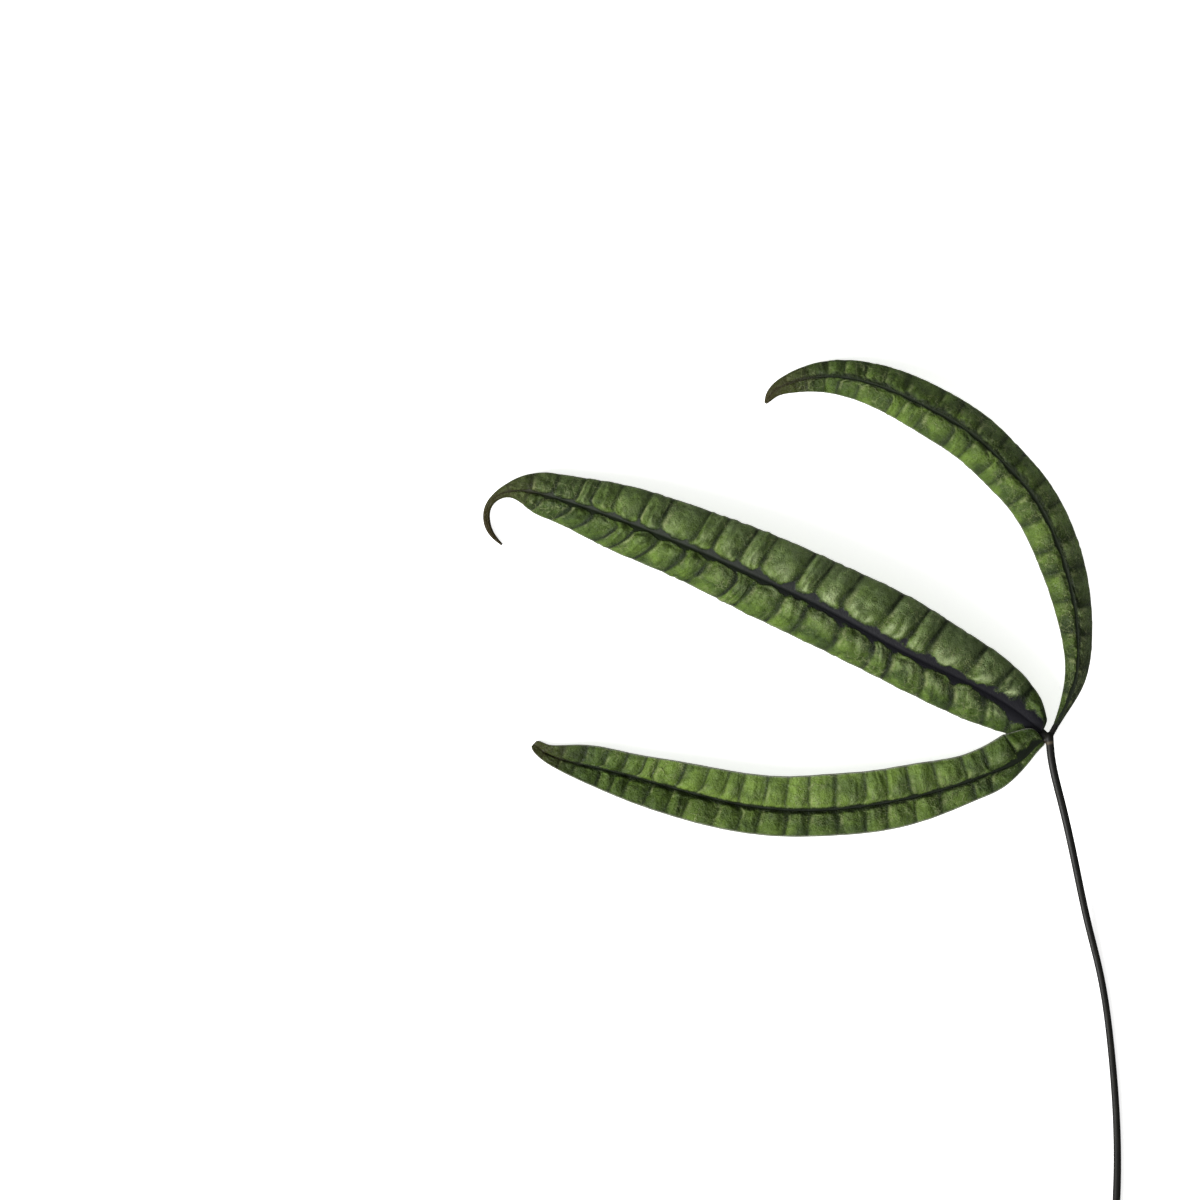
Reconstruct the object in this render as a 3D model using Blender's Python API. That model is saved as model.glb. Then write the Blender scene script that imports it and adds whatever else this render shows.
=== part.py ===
"""An anthurium leaf, picked and lying on a surface, built at its real size.

The leaf is a compound one. A long dark stalk ends in a small knuckle, and three narrow, puckered
leaflets fan out from it. Each leaflet is one thin blade that follows its rib, with a keel under the
rib and a row of puffed panels on each side, between sunken side veins.

+Z is up, and +Y runs along the stalk towards the leaflets. The origin is on the surface that the
leaf lies on, under the middle of the leaf. The sizes below are in millimetres from the knuckle.
"""

import random
from dataclasses import dataclass

import bmesh
import bpy
import numpy as np
from mathutils import Matrix, Vector

MM = 0.001

# Place of the knuckle in the model's own frame, in millimetres
KNUCKLE_X = 93.69
KNUCKLE_Y = 34.13

# The stalk, from the knuckle to the cut end: x, y, height of its underside
STALK_PATH = [
    (0.2, 0.4, 9.9),
    (0.8, -6.5, 9.1),
    (4.6, -23.6, 6.8),
    (10.0, -47.0, 3.7),
    (15.2, -71.1, 1.2),
    (19.6, -89.0, 0.1),
    (24.0, -119.0, 0.0),
    (26.2, -152.0, 0.0),
    (25.6, -182.0, 0.0),
    (22.6, -212.0, 0.0),
]
STALK_RADIUS_TOP = 1.55
STALK_RADIUS_MIDDLE = 1.36
STALK_RADIUS_CUT = 1.6
STALK_RINGS = 44
STALK_SIDES = 12

# The knuckle is an egg that the three leaflet stalks grow from
KNUCKLE_HEIGHT = 11.2
KNUCKLE_RADII = (1.7, 2.3, 1.9)
FOOT_RADIUS = 1.2
FOOT_SIDES = 10
SEAT_GAP = 0.3

# The blade, and the keel under its rib
BLADE_THICKNESS = 0.8
KEEL_DEPTH_BASE = 2.3
KEEL_DEPTH_TIP = 1.0
# Shares of a panel's length, and of the way from the rib to the margin, where the mesh has points
PANEL_COLUMNS = (0.0, 0.22, 0.5, 0.78)
FIRST_COLUMNS = (0.03, 0.1)
BLADE_ROWS = (0.0, 0.13, 0.36, 0.7, 1.0)
KEEL_HALF_WIDTH = 0.18
# Distance between the mesh's points along the tip, past the puckered blade
TIP_STEP = 2.2


@dataclass
class Leaflet:
    """One leaflet. Its left side is the one on the left when looking from the knuckle to its tip."""

    name: str
    rib: list  # x, y, height of the upper face along the rib
    widths: list  # distance along the rib, half-width on the left, half-width on the right
    blade_length: float  # along the rib, without the drip tip
    panels: int  # puffed panels on each side of the rib
    puff: float  # height of the largest panels
    slopes: tuple  # left, right: rise beside the rib, for each millimetre outwards
    drops: tuple  # left, right: how far the margin hangs for each millimetre, at the base and at the tip
    leans: tuple  # left, right: how far side veins run towards the tip, at the base and at the tip
    bends: tuple  # left, right: how far they curve on towards the tip
    channel: tuple  # share of the half-width beside the rib that is smooth: at the foot, base and tip
    lobes: float  # how round the panels' ends beside the rib are
    seed: int


UPPER = Leaflet(
    name="leaflet_upper",
    rib=[
        (2.9, 5.2, 11.6),
        (6.4, 12.0, 12.6),
        (9.9, 21.5, 13.4),
        (11.0, 35.3, 14.0),
        (9.9, 48.6, 14.6),
        (6.5, 63.8, 15.6),
        (1.5, 77.9, 16.8),
        (-6.5, 92.4, 18.0),
        (-16.2, 103.3, 18.6),
        (-28.5, 114.8, 18.4),
        (-42.6, 123.7, 17.0),
        (-58.0, 131.2, 14.4),
        (-73.0, 136.2, 11.0),
        (-86.0, 137.4, 7.8),
        (-98.0, 135.0, 4.8),
        (-105.0, 131.2, 2.6),
        (-107.6, 127.3, 1.0),
    ],
    widths=[
        (0.0, 1.2, 1.2),
        (5.0, 2.0, 1.6),
        (13.0, 3.5, 2.9),
        (23.0, 4.7, 4.6),
        (42.0, 7.3, 6.4),
        (61.0, 9.3, 7.8),
        (85.0, 10.3, 8.3),
        (115.0, 10.8, 9.0),
        (141.0, 10.4, 9.2),
        (160.0, 8.8, 8.7),
        (180.0, 6.9, 6.6),
        (198.5, 3.9, 3.8),
        (206.0, 2.2, 2.2),
        (209.5, 1.2, 1.2),
        (211.0, 0.5, 0.5),
    ],
    blade_length=200.0,
    panels=20,
    puff=1.0,
    slopes=(0.34, 0.3),
    drops=((0.42, 0.3), (1.6, 0.5)),
    leans=((-0.15, -0.05), (-0.1, -0.1)),
    bends=(0.15, 0.1),
    channel=(0.35, 0.06, 0.02),
    lobes=0.3,
    seed=11,
)

MIDDLE = Leaflet(
    name="leaflet_middle",
    rib=[
        (-2.6, 2.6, 11.0),
        (-11.8, 10.0, 13.6),
        (-33.8, 22.6, 18.4),
        (-56.6, 33.6, 21.4),
        (-83.2, 48.2, 22.6),
        (-109.8, 60.8, 21.6),
        (-138.3, 73.3, 18.6),
        (-166.8, 84.4, 14.0),
        (-191.5, 92.4, 9.2),
        (-203.6, 94.0, 6.8),
        (-209.6, 92.1, 5.4),
        (-213.2, 88.0, 4.1),
        (-213.8, 83.2, 2.9),
        (-212.0, 78.0, 1.8),
        (-207.9, 73.5, 1.0),
    ],
    widths=[
        (0.0, 1.3, 1.3),
        (0.6, 3.2, 3.3),
        (2.0, 5.8, 5.2),
        (5.0, 7.8, 7.4),
        (12.0, 10.0, 11.0),
        (22.0, 12.4, 14.0),
        (42.0, 13.8, 17.2),
        (64.0, 13.6, 19.6),
        (94.0, 14.9, 18.2),
        (128.0, 14.4, 17.2),
        (156.0, 13.0, 15.4),
        (184.0, 11.8, 13.0),
        (204.0, 9.0, 9.6),
        (215.0, 6.9, 7.4),
        (223.0, 2.8, 3.6),
        (229.0, 1.6, 1.6),
        (240.0, 1.3, 1.3),
        (250.0, 0.4, 0.4),
    ],
    blade_length=224.0,
    panels=21,
    puff=2.5,
    slopes=(0.4, 0.5),
    drops=((0.62, 0.5), (0.16, 0.3)),
    leans=((-1.25, 0.5), (-0.2, -0.15)),
    bends=(0.5, 0.0),
    channel=(0.5, 0.11, 0.03),
    lobes=1.0,
    seed=5,
)

LOWER = Leaflet(
    name="leaflet_lower",
    rib=[
        (-2.2, -1.0, 12.2),
        (-3.9, -1.9, 12.5),
        (-6.2, -4.0, 12.8),
        (-9.9, -7.6, 13.2),
        (-18.6, -11.9, 13.7),
        (-30.0, -16.2, 13.8),
        (-44.1, -20.6, 13.4),
        (-62.3, -24.6, 12.4),
        (-80.2, -27.0, 11.2),
        (-98.8, -27.4, 9.8),
        (-117.0, -25.4, 8.3),
        (-134.9, -21.3, 6.8),
        (-152.4, -16.4, 5.4),
        (-170.2, -11.8, 4.0),
        (-185.8, -8.0, 2.7),
        (-191.9, -5.4, 2.0),
        (-195.8, -2.2, 1.05),
    ],
    widths=[
        (0.0, 1.3, 1.3),
        (0.6, 1.5, 3.9),
        (2.0, 1.8, 6.8),
        (5.2, 2.0, 9.6),
        (10.5, 2.8, 11.6),
        (20.0, 6.4, 10.9),
        (31.0, 7.6, 10.2),
        (49.0, 9.3, 12.2),
        (67.0, 10.3, 12.9),
        (85.0, 9.9, 13.6),
        (104.0, 10.1, 12.8),
        (126.0, 10.4, 12.0),
        (148.0, 10.2, 10.4),
        (166.0, 8.9, 8.5),
        (184.0, 5.6, 7.4),
        (194.0, 3.4, 4.5),
        (199.0, 2.5, 2.9),
        (201.4, 2.1, 2.3),
        (202.8, 1.5, 1.6),
        (203.6, 0.8, 0.8),
    ],
    blade_length=198.0,
    panels=22,
    puff=1.9,
    slopes=(0.42, 0.42),
    drops=((-0.3, -0.3), (-0.26, -0.26)),
    leans=((0.1, 0.15), (-0.1, -0.3)),
    bends=(0.0, 0.1),
    channel=(0.3, 0.035, 0.02),
    lobes=0.15,
    seed=23,
)

# How much longer the first panels are than the last, and how irregular the side veins are
PANEL_TAPER = 0.28
VEIN_JITTER = 0.3
PUFF_JITTER = 0.28
# Share of the half-width that the margin draws in at each side vein
SCALLOP = 0.006
# Share of the blade's length over which the veins' lean fades out at each end
LEAN_FADE = 0.12
# Each puff rises from the channel beside the rib, is highest near it, and flattens before the margin
CHANNEL_MOUTH = 2.2
LOBE_ROUND = 0.13
TROUGH_BY_RIB = 0.34
TROUGH_BY_MARGIN = 0.05
PUFF_ROUNDNESS = 0.7
PUFF_RISE = 0.2
CREST = 0.5
MARGIN_START = 0.8
MARGIN_PUFF = 0.3

STALK_GREEN_BLACK = (0.012, 0.014, 0.010)
BLADE_GREEN = (0.075, 0.150, 0.035)


def clear_scene():
    for thing in list(bpy.data.objects):
        bpy.data.objects.remove(thing)


def material(name, colour, roughness):
    made = bpy.data.materials.new(name)
    made.use_nodes = True
    shader = made.node_tree.nodes["Principled BSDF"]
    shader.inputs["Base Color"].default_value = (*colour, 1.0)
    shader.inputs["Roughness"].default_value = roughness
    shader.inputs["Metallic"].default_value = 0.0
    return made


def spline(knots, values):
    """A natural cubic spline through values at knots, as a function of the position between them."""
    knots, values = np.array(knots, float), np.array(values, float)
    gaps = np.diff(knots)
    system = np.eye(len(knots))
    bends = np.zeros(values.shape)
    slopes = np.diff(values, axis=0) / gaps.reshape(-1, *[1] * (values.ndim - 1))
    for i in range(1, len(knots) - 1):
        system[i, i - 1 : i + 2] = gaps[i - 1], 2 * (gaps[i - 1] + gaps[i]), gaps[i]
        bends[i] = 6 * (slopes[i] - slopes[i - 1])
    bends = np.linalg.solve(system, bends)

    def at(position):
        position = np.clip(np.asarray(position, float), knots[0], knots[-1])
        i = np.clip(np.searchsorted(knots, position) - 1, 0, len(gaps) - 1)
        gap, before, after = gaps[i], position - knots[i], knots[i + 1] - position
        if values.ndim > 1:
            gap, before, after = gap[..., None], before[..., None], after[..., None]
        curved = (bends[i] * after**3 + bends[i + 1] * before**3) / (6 * gap)
        return (
            curved
            + (values[i] / gap - bends[i] * gap / 6) * after
            + (values[i + 1] / gap - bends[i + 1] * gap / 6) * before
        )

    return at


def run_of(points):
    """The distance along a line of points, as seen from above."""
    steps = np.linalg.norm(np.diff(np.array(points, float)[:, :2], axis=0), axis=1)
    return np.concatenate([[0.0], np.cumsum(steps)])


def ease(start, end, x):
    """0 before start, 1 after end, and smooth between them."""
    share = np.clip((x - start) / (end - start), 0.0, 1.0)
    return share * share * (3 - 2 * share)


def mixed(ends, share):
    return ends[0] + (ends[1] - ends[0]) * share


class Blade:
    """The upper face of a leaflet, as points for a panel position and a signed share of the half-width.

    Panel position runs from 0 at the base to the number of panels at the end of the puckered blade.
    The share runs from -1 at the right margin over 0 at the rib to 1 at the left margin.
    """

    def __init__(self, leaflet):
        self.leaflet = leaflet
        runs = run_of(leaflet.rib)
        self.length = runs[-1]
        self.rib = spline(runs, leaflet.rib)
        stations = np.array(leaflet.widths)
        self.half_widths = [spline(stations[:, 0], stations[:, side]) for side in (1, 2)]
        self.widest = stations[:, 1:].max()
        chance = random.Random(leaflet.seed)
        count = leaflet.panels + 2
        self.vein_jitter = [[chance.uniform(-1, 1) for _ in range(count)] for _ in range(2)]
        self.panel_puff = [[chance.uniform(-1, 1) for _ in range(count)] for _ in range(2)]

    def along(self, panel):
        """The distance from the base to a panel position, along the rib, also past the last panel."""
        share = panel / self.leaflet.panels
        inside = np.minimum(share, 1)
        panels = inside + PANEL_TAPER * inside * (1 - inside)
        return self.leaflet.blade_length * (panels + (share - inside) * (1 - PANEL_TAPER))

    def tip_columns(self):
        """Panel positions past the last panel, spread evenly to the end of the rib."""
        tip = self.length - self.leaflet.blade_length
        panels = tip / self.leaflet.blade_length * self.leaflet.panels / (1 - PANEL_TAPER)
        count = round(tip / TIP_STEP)
        return [self.leaflet.panels + panels * (i + 1) / count for i in range(count)]

    def place(self, panel, share):
        """Points of the smooth blade, before its puffs. panel and share are arrays of one shape."""
        leaflet = self.leaflet
        along = self.along(panel)
        place = np.zeros((*panel.shape, 3))
        for side, sign in ((0, 1), (1, -1)):
            here = share * sign >= 0
            out = np.abs(share[here])
            start = along[here]
            half = self.half_widths[side](start)
            done = np.clip(start / leaflet.blade_length, 0, 1)
            window = ease(0, LEAN_FADE, done) * ease(0, LEAN_FADE, 1 - done)
            lean = half * (mixed(leaflet.leans[side], done) * out + leaflet.bends[side] * out**2)
            wander = np.interp(panel[here], range(leaflet.panels + 2), self.vein_jitter[side])
            wander = wander * VEIN_JITTER * leaflet.blade_length / leaflet.panels * ease(0, 0.3, out)
            reached = start + window * (lean + wander)
            half = self.half_widths[side](reached)
            half *= 1 - SCALLOP * (1 - self.wave(panel[here])) * out**2
            on_rib = self.rib(reached)
            step = self.rib(reached + 0.5)[:, :2] - self.rib(reached - 0.5)[:, :2]
            step /= np.linalg.norm(step, axis=1)[:, None]
            outwards = np.stack([-step[:, 1], step[:, 0]], axis=1) * sign
            slope, drop = leaflet.slopes[side], mixed(leaflet.drops[side], done)
            on_rib[:, :2] += outwards * (half * out)[:, None]
            on_rib[:, 2] += half * (slope * out - (slope + drop) * out**2)
            place[here] = on_rib
        return place

    def wave(self, panel):
        """0 over a side vein, rising to 1 in the middle of a panel, and 1 past the last panel."""
        inside = np.minimum(panel, self.leaflet.panels)
        wave = np.sin(np.pi * (inside - np.floor(inside))).clip(0, 1)
        return np.where(panel > self.leaflet.panels, 1, wave)

    def lobe_edge(self, panel):
        """Share of the half-width where a panel begins to rise: the channel, then round lobes' ends."""
        mouth, base, tip = self.leaflet.channel
        channel = mixed((base, tip), np.clip(panel / self.leaflet.panels, 0, 1))
        channel = channel + (mouth - base) * (1 - ease(0, CHANNEL_MOUTH, panel))
        return channel + LOBE_ROUND * self.leaflet.lobes * (1 - self.wave(panel))

    def puff(self, panel, share):
        """How far the blade stands up from its smooth shape, between the side veins."""
        leaflet = self.leaflet
        height = np.zeros(panel.shape)
        for side, sign in ((0, 1), (1, -1)):
            here = share * sign >= 0
            out = np.abs(share[here])
            at = np.minimum(panel[here], leaflet.panels)
            uneven = 1 + PUFF_JITTER * np.array(self.panel_puff[side])[at.astype(int)]
            size = self.half_widths[side](self.along(at)) / self.widest
            edge = self.lobe_edge(panel[here])
            across = ease(edge, edge + PUFF_RISE, out) * (1 - CREST * ease(0.3, 1, out))
            across = across * (1 - (1 - MARGIN_PUFF) * ease(MARGIN_START, 1, out))
            height[here] = leaflet.puff * uneven * size**0.8 * across
        by_rib = TROUGH_BY_RIB * leaflet.lobes
        trough = mixed((by_rib, TROUGH_BY_MARGIN), ease(0.05, 0.6, np.abs(share)))
        swelling = ((self.wave(panel) - trough) / (1 - trough)).clip(0, 1) ** PUFF_ROUNDNESS
        return height * swelling * (panel <= leaflet.panels)

    def surface(self, columns, rows):
        """Points of the puckered upper face on a grid, and how thick the blade is under each."""
        panel, share = np.meshgrid(columns, rows, indexing="ij")
        smooth = self.place(panel, share)
        facing = np.cross(np.gradient(smooth, axis=0), np.gradient(smooth, axis=1))
        facing /= np.linalg.norm(facing, axis=2)[:, :, None]
        points = smooth + facing * self.puff(panel, share)[:, :, None]
        keel = mixed((KEEL_DEPTH_BASE, KEEL_DEPTH_TIP), np.clip(panel / self.leaflet.panels, 0, 1))
        near_rib = 1 - ease(0, KEEL_HALF_WIDTH, np.abs(share))
        return points, BLADE_THICKNESS + (keel - BLADE_THICKNESS) * near_rib


def leaflet_object(leaflet, finish, origin):
    """A leaflet as one sheet of triangles, given its thickness and keel downwards by a Solidify."""
    blade = Blade(leaflet)
    panels = [i + share for i in range(leaflet.panels) for share in PANEL_COLUMNS]
    columns = sorted([*panels, *FIRST_COLUMNS, float(leaflet.panels), *blade.tip_columns()])
    rows = [-row for row in reversed(BLADE_ROWS[1:])] + list(BLADE_ROWS)
    points, depth = blade.surface(columns, rows)
    sheet = bmesh.new()
    corners = [[sheet.verts.new(point * MM) for point in line] for line in points]
    for i in range(len(columns) - 1):
        for j in range(len(rows) - 1):
            quad = (corners[i][j], corners[i + 1][j], corners[i + 1][j + 1], corners[i][j + 1])
            sheet.faces.new((quad[0], quad[1], quad[2]))
            sheet.faces.new((quad[0], quad[2], quad[3]))
    made = as_object(leaflet.name, sheet, bpy.context.scene.collection, origin)
    thickness = made.vertex_groups.new(name="thickness")
    for index, share in enumerate((depth / KEEL_DEPTH_BASE).ravel()):
        thickness.add([index], float(share), "REPLACE")
    solidify = made.modifiers.new("blade and keel", "SOLIDIFY")
    solidify.thickness = KEEL_DEPTH_BASE * MM
    solidify.offset = -1
    solidify.vertex_group = thickness.name
    made.data.materials.append(finish)
    made.data.shade_smooth()
    return made


def tube(path, radii, sides):
    """A closed tube around a line of points, with one ring for each. Two corners of a ring lie lowest."""
    shape = bmesh.new()
    rings = []
    for i, point in enumerate(path):
        ahead = Vector(path[min(i + 1, len(path) - 1)]) - Vector(path[max(i - 1, 0)])
        ahead.normalize()
        across = ahead.cross(Vector((0, 0, 1))).normalized()
        up = across.cross(ahead)
        ring = []
        for k in range(sides):
            turn = 2 * np.pi * (k + 0.5) / sides
            out = across * np.sin(turn) - up * np.cos(turn)
            ring.append(shape.verts.new((Vector(point) + out * radii[i]) * MM))
        rings.append(ring)
    for one, other in zip(rings[:-1], rings[1:]):
        for k in range(sides):
            shape.faces.new((one[k], one[(k + 1) % sides], other[(k + 1) % sides], other[k]))
    shape.faces.new(list(reversed(rings[0])))
    shape.faces.new(rings[-1])
    bmesh.ops.recalc_face_normals(shape, faces=shape.faces)
    return shape


def as_object(name, shape, collection, origin):
    mesh = bpy.data.meshes.new(name)
    shape.to_mesh(mesh)
    shape.free()
    made = bpy.data.objects.new(name, mesh)
    made.parent = origin
    collection.objects.link(made)
    return made


def helper(name, shape, collection, origin):
    """A solid that a Boolean uses and a render leaves out."""
    made = as_object(name, shape, collection, origin)
    made.hide_render = True
    made.display_type = "WIRE"
    return made


def stalk_radii(shares):
    middle = 0.5
    return np.where(
        shares < middle,
        mixed((STALK_RADIUS_TOP, STALK_RADIUS_MIDDLE), ease(0, middle, shares)),
        mixed((STALK_RADIUS_MIDDLE, STALK_RADIUS_CUT), ease(middle, 1, shares)),
    )


def knuckle_shape():
    shape = bmesh.new()
    bmesh.ops.create_uvsphere(shape, u_segments=14, v_segments=9, radius=1)
    grow = Matrix.Diagonal((*[radius * MM for radius in KNUCKLE_RADII], 1))
    move = Matrix.Translation(Vector((0, 0, KNUCKLE_HEIGHT)) * MM)
    bmesh.ops.transform(shape, matrix=move @ grow, verts=shape.verts)
    return shape


def foot_shape(leaflet):
    """The short stalk from the knuckle to a leaflet, in line with its rib, ending just before it."""
    rib = Blade(leaflet).rib
    base = Vector(rib(0.0))
    ahead = (Vector(rib(0.5)) - base).normalized()
    length = base.xy.length
    end = base - Vector((0, 0, KEEL_DEPTH_BASE / 2)) - ahead * SEAT_GAP
    return tube([end - ahead * length, end], [FOOT_RADIUS] * 2, FOOT_SIDES)


def stalk_object(leaflets, finish, origin):
    runs = run_of(STALK_PATH)
    shares = np.linspace(0, 1, STALK_RINGS)
    radii = stalk_radii(shares)
    path = spline(runs, STALK_PATH)(shares * runs[-1])
    path[:, 2] = path[:, 2].clip(0) + radii * np.cos(np.pi / STALK_SIDES)
    scene = bpy.context.scene.collection
    stalk = as_object("stalk", tube(path, radii, STALK_SIDES), scene, origin)
    joined = bpy.data.collections.new("joined to the stalk")
    joined.hide_render = True
    scene.children.link(joined)
    helper("knuckle", knuckle_shape(), joined, origin)
    for leaflet in leaflets:
        helper(f"foot_of_{leaflet.name}", foot_shape(leaflet), joined, origin)
    union = stalk.modifiers.new("knuckle and feet", "BOOLEAN")
    union.operation = "UNION"
    union.operand_type = "COLLECTION"
    union.collection = joined
    stalk.data.materials.append(finish)
    stalk.data.shade_smooth()
    return stalk


def main():
    clear_scene()
    leaflets = (UPPER, MIDDLE, LOWER)
    origin = bpy.data.objects.new("leaf", None)
    bpy.context.scene.collection.objects.link(origin)
    origin.location = (KNUCKLE_X * MM, KNUCKLE_Y * MM, 0)
    green = material("leaflet green", BLADE_GREEN, 0.35)
    for leaflet in leaflets:
        leaflet_object(leaflet, green, origin)
    stalk_object(leaflets, material("stalk black", STALK_GREEN_BLACK, 0.4), origin)


main()
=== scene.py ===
"""The looks of a picked anthurium leaf: puckered leaflets, their fine veins and colours, and the stalk.

Each leaflet follows the same rib, widths and panels as its solid in the frame, with a finer mesh.
Lengths in the tables are millimetres from the knuckle, where the leaflets meet.
"""

import math
import random
from dataclasses import dataclass

import bmesh
import bpy
import numpy as np
from bpy.props import FloatProperty, FloatVectorProperty, IntProperty, PointerProperty
from bpy.types import Operator, Panel, PropertyGroup
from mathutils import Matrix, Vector


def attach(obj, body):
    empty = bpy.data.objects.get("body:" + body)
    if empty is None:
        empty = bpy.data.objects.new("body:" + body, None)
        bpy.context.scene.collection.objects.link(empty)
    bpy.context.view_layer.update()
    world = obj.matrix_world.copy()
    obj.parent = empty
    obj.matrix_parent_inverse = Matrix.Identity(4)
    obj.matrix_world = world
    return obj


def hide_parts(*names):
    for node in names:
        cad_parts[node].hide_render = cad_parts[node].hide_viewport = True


bl_info = {
    "name": "Anthurium Leaf",
    "version": (1, 0, 0),
    "blender": (4, 5, 0),
    "location": "3D View > Sidebar > Leaf",
    "description": "Builds a picked anthurium leaf with three puckered leaflets on a long dark stalk",
    "category": "Object",
}

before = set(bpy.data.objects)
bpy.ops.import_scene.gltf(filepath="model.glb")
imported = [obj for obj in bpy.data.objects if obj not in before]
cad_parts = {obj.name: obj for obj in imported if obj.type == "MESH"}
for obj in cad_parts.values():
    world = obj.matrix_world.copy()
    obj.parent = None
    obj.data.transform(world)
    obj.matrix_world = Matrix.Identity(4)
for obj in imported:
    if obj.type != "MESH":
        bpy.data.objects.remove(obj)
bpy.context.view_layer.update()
MM = 0.001

# The knuckle's place in the frame, on the surface under it
KNUCKLE = np.array([93.69, 34.13, 0.0])

# The mesh's points in a panel and across a half, its first columns, and its steps along the drip tip
PANEL_POINTS = 24
HALF_POINTS = 32
BASE_COLUMNS = (0.01, 0.025)
TIP_STEP = 0.5
# The rows end at this share of the half-width, where the rounded rim begins
MARGIN_SHARE = 0.985
RIM_BULGE = 0.25
RIM_STEPS = 3

# The panels get shorter towards the tip, and their side veins wander, more so away from the rib
PANEL_TAPER = 0.28
VEIN_JITTER = 0.3
JITTER_SPAN = (0, 0.3)
# The side veins notch the margin a little, and lean less near the blade's ends
SCALLOP = 0.006
LEAN_FADE = 0.12
# The panels differ in height, are lower where the blade is narrow, and rise soon beside the channel
PUFF_JITTER = 0.28
PUFF_GROWTH = 0.8
PUFF_RISE = 0.2
PUFF_ROUNDNESS = 0.7
# They fall outwards, and again beside the margin, each from a share of the half-width
PUFF_FALL = 0.5
PUFF_FALL_START = 0.3
MARGIN_START = 0.8
MARGIN_PUFF = 0.3
# Their crests lie nearer their tip side
CREST_SHIFT = 1.35
# Their ends beside the rib are round: how far they curve back, as a share of the half-width
LOBE_ROUND = 0.13

# The smooth channel along the rib narrows over this many panels at the base
CHANNEL_MOUTH = 2.2
# A side vein's trough is wider beside the rib, as a share of a panel
TROUGH_BY_RIB = 0.34
TROUGH_BY_MARGIN = 0.05
TROUGH_SPAN = (0.05, 0.6)
# Wrinkles grow with the panel's height, as a share of the highest, and away from the channel
WRINKLE_SPAN = (0.02, 0.25)
WRINKLE_LIP = (0.85, 1.25)
# The ridges and streaks follow a flat map of the blade, narrow across, with its halves far apart
WEAVE_ACROSS = 0.3
WEAVE_GAP = 200

# The keel under the rib, with its depths at the base and tip, and the veins' ridges under the blade
KEEL_DEPTHS = (2.3, 1.0)
KEEL_HALF_WIDTH = 0.18
VEIN_WAVE = (0.0, 0.3)
# A section is no deeper than this share of its width, or of the least width
DEPTH_SHARE = 0.9
LEAST_WIDTH = 0.5

# The marks on the blade. Each is a product of rises along a way: from 0, or the last number, at the
# first place to 1 at the second. Out and lip count from the rib, in half-widths and channel's widths,
# done is the share of the blade's length, wave the height in a panel, and phase the place across it.
MARKS = {
    # Crest highlights: a painted highlight on the panels' ends beside the rib
    "crest_highlights": [("lip", 0.9, 1.5), ("out", 0.65, 0.3), ("wave", 0.3, 0.9), ("done", 0.85, 0.45, 0.3)],
    # Painted sheen: grey, pale sky light reflected off the outer part of a half
    "painted_sheen": [("out", 0.25, 0.7), ("done", 0.02, 0.12), ("done", 0.95, 0.5, 0.4)],
    # A pale line along each panel's tip side near the rib: partly pale vein, partly painted highlight on the
    # lit flank
    "pale_hem_and_highlight": [("phase", 0.78, 0.86), ("phase", 0.96, 0.89), ("out", 0.8, 0.45), ("lip", 1.0, 1.6)],
    # Painted shade on each panel's base side, turned from the light
    "lee_shade": [("phase", 0.6, 0.0), ("out", 0.1, 0.3)],
    # Painted shade on the panels' sides, down into the troughs
    "flank_shade": [("wave", 0.6, 0.1)],
    "fresh": [("done", 0.0, 0.25), ("done", 1.0, 0.75)],
    "dusky": [("done", 0.75, 0.3)],
    "glints": [("out", 0.65, 0.35), ("done", 0.8, 0.4)],
    "shaded": [("out", 0.0, 0.12), ("done", 0.5, 0.02)],
    "sunny": [("done", 0.05, 0.35), ("done", 0.95, 0.7)],
    "rim": [("out", 0.95, 0.97)],
    "tip": [("done", 0.9, 1.08)],
}
# The dark grooves over the side veins, painted shade in the troughs, end at this height in a panel, and
# higher beside the rib
GROOVE_START = 0.05
GROOVE_END = 0.26
GROOVE_BY_RIB = 0.44
GROOVE_FADES = [("out", 0.85, 0.3), ("done", 0.75, 0.35, 0.4)]
# Places past this many of the channel's or the painted rib shadow's widths are all the same
FAR = 4

# The patterns: how many there are to a metre, the noise's detail, roughness and distortion, and the
# part of its range that is stretched
MOTTLE = (110, 3.0, 0.6, 0.4, 0.36, 0.64)
GRAIN = (520, 4.0, 0.7, 0.8, 0.3, 0.7)
STREAK = (330, 2.0, 0.6, 0.3, 0.34, 0.66)
BLOTCH = (260, 2.0, 0.6, 0.0, 0.35, 0.62)
RAGGED = (230, 3.0, 0.6, 0.0, 0.3, 0.7)
PATCH = (60, 1.0, 0.5, 0.0, 0.5, 0.6)
SPECK = (1500, 2.0, 0.5, 0.0, 0.58, 0.68)
UNEVEN = (130, 1.0, 0.5, 0.0, 0.4, 0.62)
SKIN_STREAK = (1800, 3.0, 0.6, 0.0, 0.5, 0.75)
FLECK = (1500, 2.0, 0.5, 0.0, 0.35, 0.75)
# The nets of cells: how many to a metre, and how their edges wander
NET_SCALE = 900
THREAD_SCALE = 240
THREAD_WAVER = 0.004
WAVER_SCALE = 330

# The stalk from the knuckle to the cut end, each point with the height of its underside
STALK_PATH = [
    (0.2, 0.4, 9.9), (0.8, -6.5, 9.1), (4.6, -23.6, 6.8), (10.0, -47.0, 3.7), (15.2, -71.1, 1.2),
    (19.6, -89.0, 0.1), (24.0, -119.0, 0.0), (26.2, -152.0, 0.0), (25.6, -182.0, 0.0), (22.6, -212.0, 0.0),
]
# Its radii at the knuckle, halfway and at the cut
STALK_RADII = (1.55, 1.36, 1.6)
STALK_SIDES = 24
STALK_POINTS = 160
KNUCKLE_HEIGHT = 11.2
KNUCKLE_RADII = (1.7, 2.3, 1.9)
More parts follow.
